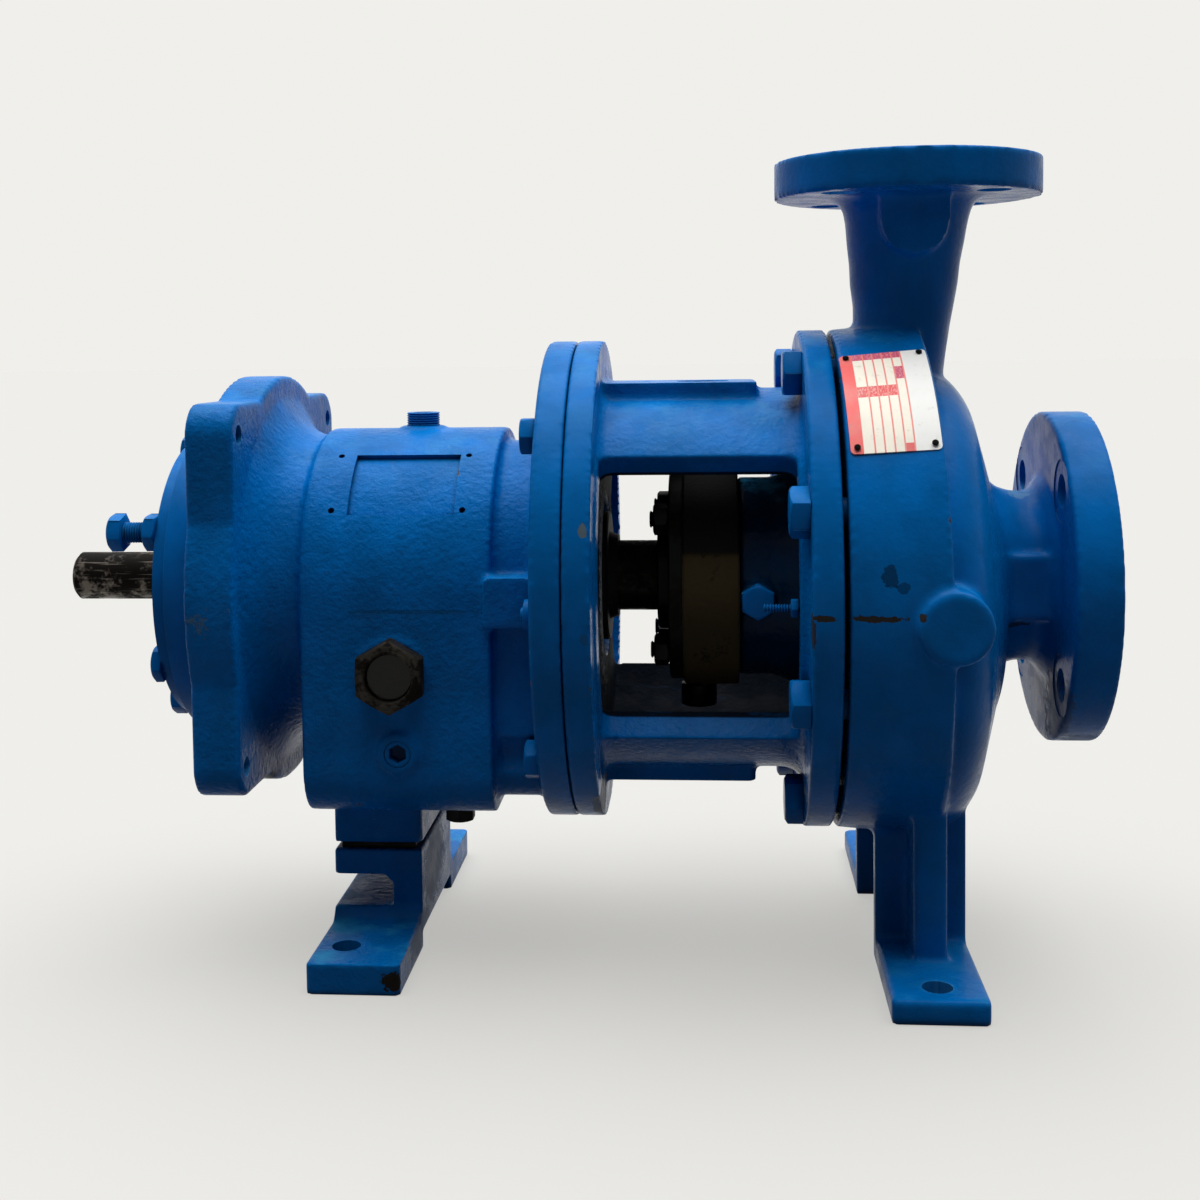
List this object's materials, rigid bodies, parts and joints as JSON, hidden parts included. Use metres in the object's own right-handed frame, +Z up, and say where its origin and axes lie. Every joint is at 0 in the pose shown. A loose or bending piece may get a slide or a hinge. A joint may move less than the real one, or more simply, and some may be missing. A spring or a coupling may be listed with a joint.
{
  "type": "centrifugal pump",
  "caption": "End-suction centrifugal pump on its bearing frame, with open lantern adapter, mechanical seal, flanged suction and top discharge, in worn blue enamel.",
  "frame": {"origin": "floor level, midway between the two casing feet, under the crossing of the shaft axis and the discharge centreline", "axes": "+X along the shaft from the drive end to the suction flange, +Z up, so -Y is the side with the oil sight glass"},
  "size_m": [0.6026, 0.2995, 0.4509],
  "materials": {
    "enamel": "worn blue enamel over cast iron",
    "worn_steel": "bare steel, worn and lightly rusted",
    "black_steel": "black oxide",
    "rusty_iron": "rusted, speckled",
    "bearing_steel": "ground and polished",
    "impeller_steel": "cast stainless steel",
    "rubber_black": "moulded nitrile rubber",
    "gasket_fibre": "compressed fibre",
    "sight_glass": "flat glass",
    "seal_carbon": "lapped carbon",
    "plate_paint": "printed cream enamel"
  },
  "bodies": {
    "frame": {"casing": "enamel", "casing_bolts": "enamel", "frame_bolts": "enamel", "seal_chamber_cover": "enamel", "flush_plug": "enamel", "cover_gasket": "gasket_fibre", "seal_gland": "rusty_iron", "gland_port_plug": "black_steel", "gland_plate": "black_steel", "gland_studs": "black_steel", "gland_nuts": "black_steel", "seal_seat": "seal_carbon", "frame_adapter": "enamel", "cover_jack_screw": "worn_steel", "frame_dowels": "enamel", "bearing_frame": "enamel", "frame_foot": "enamel", "foot_shim": "black_steel", "foot_bolt": "enamel", "oil_sight_body": "black_steel", "oil_sight_glass": "sight_glass", "oil_level_plug": "black_steel", "oil_fill_nipple": "enamel", "drain_plug": "black_steel", "inboard_oil_seal": "rubber_black", "name_plate": "plate_paint", "name_plate_rivets": "black_steel"},
    "bearing_housing": {"bearing_housing": "enamel", "housing_o_ring": "rubber_black", "bearing_end_cover": "enamel", "outboard_oil_seal": "rubber_black", "jam_nuts": "enamel", "clamp_bolts": "enamel", "thrust_outer_race": "bearing_steel", "radial_outer_race": "bearing_steel"},
    "rotor": {"shaft": "worn_steel", "shaft_sleeve": "impeller_steel", "flinger": "rubber_black", "bearing_lockwasher": "worn_steel", "bearing_locknut": "worn_steel", "thrust_inner_race": "bearing_steel", "radial_inner_race": "bearing_steel", "impeller": "impeller_steel", "seal_head": "impeller_steel"},
    "thrust_balls": {"thrust_balls": "bearing_steel"},
    "radial_balls": {"radial_balls": "bearing_steel"},
    "jack_screw_1": {"jack_screw_1": "enamel"},
    "jack_screw_2": {"jack_screw_2": "enamel"},
    "jack_screw_3": {"jack_screw_3": "enamel"}
  },
  "joints": [
    {"name": "impeller_clearance_slide", "type": "slide", "parent": "frame", "child": "bearing_housing", "axis": [1, 0, 0], "range_m": [-0.0003, 0.0004]},
    {"name": "shaft_spin", "type": "hinge", "parent": "bearing_housing", "child": "rotor", "pos_m": [-0.3, 0, 0.20955], "axis": [1, 0, 0], "continuous": true},
    {"name": "thrust_ball_roll", "type": "hinge", "parent": "bearing_housing", "child": "thrust_balls", "pos_m": [-0.382, 0, 0.20955], "axis": [1, 0, 0], "continuous": true},
    {"name": "radial_ball_roll", "type": "hinge", "parent": "bearing_housing", "child": "radial_balls", "pos_m": [-0.2205, 0, 0.20955], "axis": [1, 0, 0], "continuous": true},
    {"name": "jack_turn_1", "type": "hinge", "parent": "frame", "child": "jack_screw_1", "pos_m": [-0.43, -0.06727, 0.24383], "axis": [1, 0, 0], "range_deg": [-100, 75]},
    {"name": "jack_turn_2", "type": "hinge", "parent": "frame", "child": "jack_screw_2", "pos_m": [-0.43, 0.00395, 0.13415], "axis": [1, 0, 0], "range_deg": [-100, 75]},
    {"name": "jack_turn_3", "type": "hinge", "parent": "frame", "child": "jack_screw_3", "pos_m": [-0.43, 0.06332, 0.25067], "axis": [1, 0, 0], "range_deg": [-100, 75]}
  ],
  "couplings": [
    {"joint": "thrust_ball_roll", "follows": "shaft_spin", "ratio": 0.3869},
    {"joint": "radial_ball_roll", "follows": "shaft_spin", "ratio": 0.3869},
    {"joint": "jack_turn_1", "follows": "impeller_clearance_slide", "rad_per_m": -4188.8},
    {"joint": "jack_turn_2", "follows": "impeller_clearance_slide", "rad_per_m": -4188.8},
    {"joint": "jack_turn_3", "follows": "impeller_clearance_slide", "rad_per_m": -4188.8}
  ]
}
